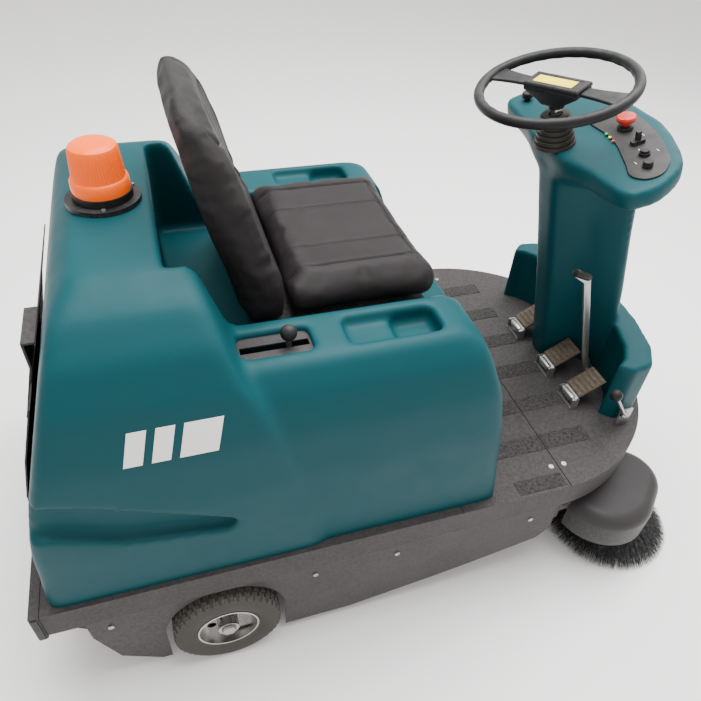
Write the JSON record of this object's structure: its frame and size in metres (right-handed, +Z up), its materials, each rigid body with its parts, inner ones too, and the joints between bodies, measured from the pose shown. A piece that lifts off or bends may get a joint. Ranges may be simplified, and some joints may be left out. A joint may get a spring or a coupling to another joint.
{
  "type": "ride-on sweeper",
  "caption": "Compact battery ride-on sweeper with a moulded rear cover, seat, steering column, rear hopper, side disc brush and main brush roller.",
  "frame": {"origin": "floor level, at the middle of the footprint", "axes": "+X forward, +Y to the operator's left, +Z up"},
  "size_m": [1.574, 1.0005, 1.217],
  "materials": {
    "teal_plastic": "roto-moulded, fine grain, satin",
    "grey_paint": "powder coat, light texture",
    "dark_steel": "black paint",
    "zinc_steel": "zinc plated",
    "tyre_rubber": "dusty rubber",
    "front_rubber": "solid rubber",
    "black_plastic": "fine grain",
    "grip_tape": "gritty anti-slip",
    "pedal_rubber": "worn ribbed rubber",
    "flap_rubber": "flexible flap",
    "seat_vinyl": "embossed vinyl",
    "bristle": "nylon bristle",
    "amber_lens": "moulded lens",
    "red_plastic": "moulded",
    "battery_case": "moulded case",
    "wheel_steel": "bright plated"
  },
  "bodies": {
    "chassis": {"frame_rail": "grey_paint", "crossmembers": "grey_paint", "floor_plate_front": "grey_paint", "floor_plate_rear": "grey_paint", "body_deck": "grey_paint", "grip_strips": "grip_tape", "skirts": "grey_paint", "axle_brackets": "zinc_steel", "rear_cover": "teal_plastic", "lever_bracket": "grey_paint", "batteries": "battery_case", "filter_box": "grey_paint", "suction_fan": "black_plastic", "brush_tunnel": "grey_paint", "rear_flap": "flap_rubber", "steering_column": "teal_plastic", "steering_boot": "flap_rubber", "dash_panel": "black_plastic", "floor_brackets": "zinc_steel", "seat_hinge": "dark_steel", "beacon_base": "black_plastic", "beacon_lens": "amber_lens", "screws": "zinc_steel", "charger_inlet": "black_plastic"},
    "hopper": {"hopper_crossbar": "grey_paint", "hopper_bin": "grey_paint", "hopper_panel": "grey_paint"},
    "rear_wheel_right": {"rear_tyre_right": "tyre_rubber", "rear_rim_right": "wheel_steel"},
    "rear_wheel_left": {"rear_tyre_left": "tyre_rubber", "rear_rim_left": "wheel_steel"},
    "fork": {"front_fork": "dark_steel"},
    "drive_wheel": {"front_tyre": "front_rubber", "front_drive_hub": "dark_steel"},
    "steering": {"steering_wheel": "black_plastic", "steering_pad": "black_plastic", "steering_shaft": "zinc_steel"},
    "brush_frame": {"brush_arms": "dark_steel"},
    "sweeping_brush": {"main_brush": "bristle"},
    "dust_flap": {"front_flap": "flap_rubber"},
    "side_arm": {"side_brush_arm": "dark_steel", "side_brush_hood": "grey_paint"},
    "side_disc": {"side_brush_plate": "black_plastic", "side_brush_bristles": "bristle"},
    "armrest_lever": {"brush_lever": "black_plastic"},
    "side_lever": {"side_brush_lever": "black_plastic"},
    "stop_button": {"emergency_stop": "red_plastic"},
    "key": {"key_switch": "black_plastic"},
    "horn": {"horn_button": "black_plastic"},
    "lamp_switch": {"lamp_knob": "black_plastic"},
    "speed_lever": {"console_lever": "black_plastic"},
    "drive_pedal": {"drive_pedal": "pedal_rubber"},
    "brake_pedal": {"brake_pedal": "pedal_rubber"},
    "flap_pedal": {"flap_pedal": "pedal_rubber"},
    "parking_brake": {"parking_lever": "zinc_steel"},
    "seat_base": {"seat_frame": "dark_steel"},
    "seat": {"seat_pan": "black_plastic", "seat_cushion": "seat_vinyl", "seat_back": "seat_vinyl"}
  },
  "joints": [
    {"name": "hopper_pull", "type": "slide", "parent": "chassis", "child": "hopper", "axis": [-1, 0, 0], "range_m": [0, 0.45]},
    {"name": "rear_wheel_right_spin", "type": "hinge", "parent": "chassis", "child": "rear_wheel_right", "pos_m": [-0.437, -0.38175, 0.117], "axis": [0, 1, 0], "continuous": true},
    {"name": "rear_wheel_left_spin", "type": "hinge", "parent": "chassis", "child": "rear_wheel_left", "pos_m": [-0.437, 0.45925, 0.117], "axis": [0, 1, 0], "continuous": true},
    {"name": "steering_turn", "type": "hinge", "parent": "chassis", "child": "steering", "pos_m": [0.3635, 0.03875, 1.0735], "axis": [-0.2482, 0, 0.9687], "range_deg": [-180, 180]},
    {"name": "fork_turn", "type": "hinge", "parent": "chassis", "child": "fork", "pos_m": [0.532, 0.03875, 0.25], "axis": [0, 0, 1], "range_deg": [-60, 60]},
    {"name": "drive_wheel_spin", "type": "hinge", "parent": "fork", "child": "drive_wheel", "pos_m": [0.532, 0.03875, 0.1], "axis": [0, 1, 0], "continuous": true},
    {"name": "side_lever_pull", "type": "hinge", "parent": "chassis", "child": "side_lever", "pos_m": [0.582, -0.27325, 0.372], "axis": [0, 1, 0], "range_deg": [-15, 0]},
    {"name": "side_arm_lift", "type": "hinge", "parent": "chassis", "child": "side_arm", "pos_m": [0.37, -0.34625, 0.18], "axis": [0, -1, 0], "range_deg": [0, 7.5]},
    {"name": "side_disc_spin", "type": "hinge", "parent": "side_arm", "child": "side_disc", "pos_m": [0.616, -0.32925, 0.06], "axis": [0, 0, 1], "continuous": true},
    {"name": "armrest_lever_pull", "type": "hinge", "parent": "chassis", "child": "armrest_lever", "pos_m": [-0.258, -0.25925, 0.64], "axis": [0, 1, 0], "range_deg": [-20, 0]},
    {"name": "brush_frame_lift", "type": "hinge", "parent": "chassis", "child": "brush_frame", "pos_m": [0.042, 0.03875, 0.2], "axis": [0, 1, 0], "range_deg": [0, 5]},
    {"name": "main_brush_spin", "type": "hinge", "parent": "brush_frame", "child": "sweeping_brush", "pos_m": [-0.168, 0.03875, 0.133], "axis": [0, 1, 0], "continuous": true},
    {"name": "flap_pedal_press", "type": "hinge", "parent": "chassis", "child": "flap_pedal", "pos_m": [0.499, 0.12275, 0.356], "axis": [0, 1, 0], "range_deg": [0, 9], "stiffness_Nm_per_rad": 4},
    {"name": "dust_flap_lift", "type": "hinge", "parent": "chassis", "child": "dust_flap", "pos_m": [-0.004, 0.03875, 0.268], "axis": [0, -1, 0], "range_deg": [0, 18]},
    {"name": "drive_pedal_press", "type": "hinge", "parent": "chassis", "child": "drive_pedal", "pos_m": [0.499, -0.15925, 0.356], "axis": [0, 1, 0], "range_deg": [0, 9], "stiffness_Nm_per_rad": 4},
    {"name": "brake_pedal_press", "type": "hinge", "parent": "chassis", "child": "brake_pedal", "pos_m": [0.499, -0.04125, 0.356], "axis": [0, 1, 0], "range_deg": [0, 9], "stiffness_Nm_per_rad": 4},
    {"name": "parking_brake_pull", "type": "hinge", "parent": "chassis", "child": "parking_brake", "pos_m": [0.584, -0.11125, 0.366], "axis": [0, 1, 0], "range_deg": [-12, 0]},
    {"name": "stop_press", "type": "slide", "parent": "chassis", "child": "stop_button", "axis": [0.2487, 0, -0.9686], "range_m": [0, 0.006], "stiffness_N_per_m": 900},
    {"name": "horn_press", "type": "slide", "parent": "chassis", "child": "horn", "axis": [0.2487, 0, -0.9686], "range_m": [0, 0.0018], "stiffness_N_per_m": 900},
    {"name": "key_turn", "type": "hinge", "parent": "chassis", "child": "key", "pos_m": [0.49988, -0.11125, 0.98054], "axis": [-0.2487, 0, 0.9686], "range_deg": [-60, 60]},
    {"name": "lamp_turn", "type": "hinge", "parent": "chassis", "child": "lamp_switch", "pos_m": [0.44079, 0.24475, 0.96537], "axis": [-0.2487, 0, 0.9686], "range_deg": [-45, 45]},
    {"name": "speed_lever_slide", "type": "slide", "parent": "chassis", "child": "speed_lever", "axis": [0, 1, 0], "range_m": [-0.004, 0.004]},
    {"name": "seat_tilt", "type": "hinge", "parent": "chassis", "child": "seat_base", "pos_m": [0.052, 0.03875, 0.722], "axis": [0, 1, 0], "range_deg": [0, 35]},
    {"name": "seat_runner", "type": "slide", "parent": "seat_base", "child": "seat", "axis": [1, 0, 0], "range_m": [-0.03, 0.03]}
  ],
  "couplings": [
    {"joint": "fork_turn", "follows": "steering_turn", "ratio": 0.3333},
    {"joint": "side_arm_lift", "follows": "side_lever_pull", "ratio": -0.5},
    {"joint": "brush_frame_lift", "follows": "armrest_lever_pull", "ratio": -0.25},
    {"joint": "dust_flap_lift", "follows": "flap_pedal_press", "ratio": 2}
  ]
}
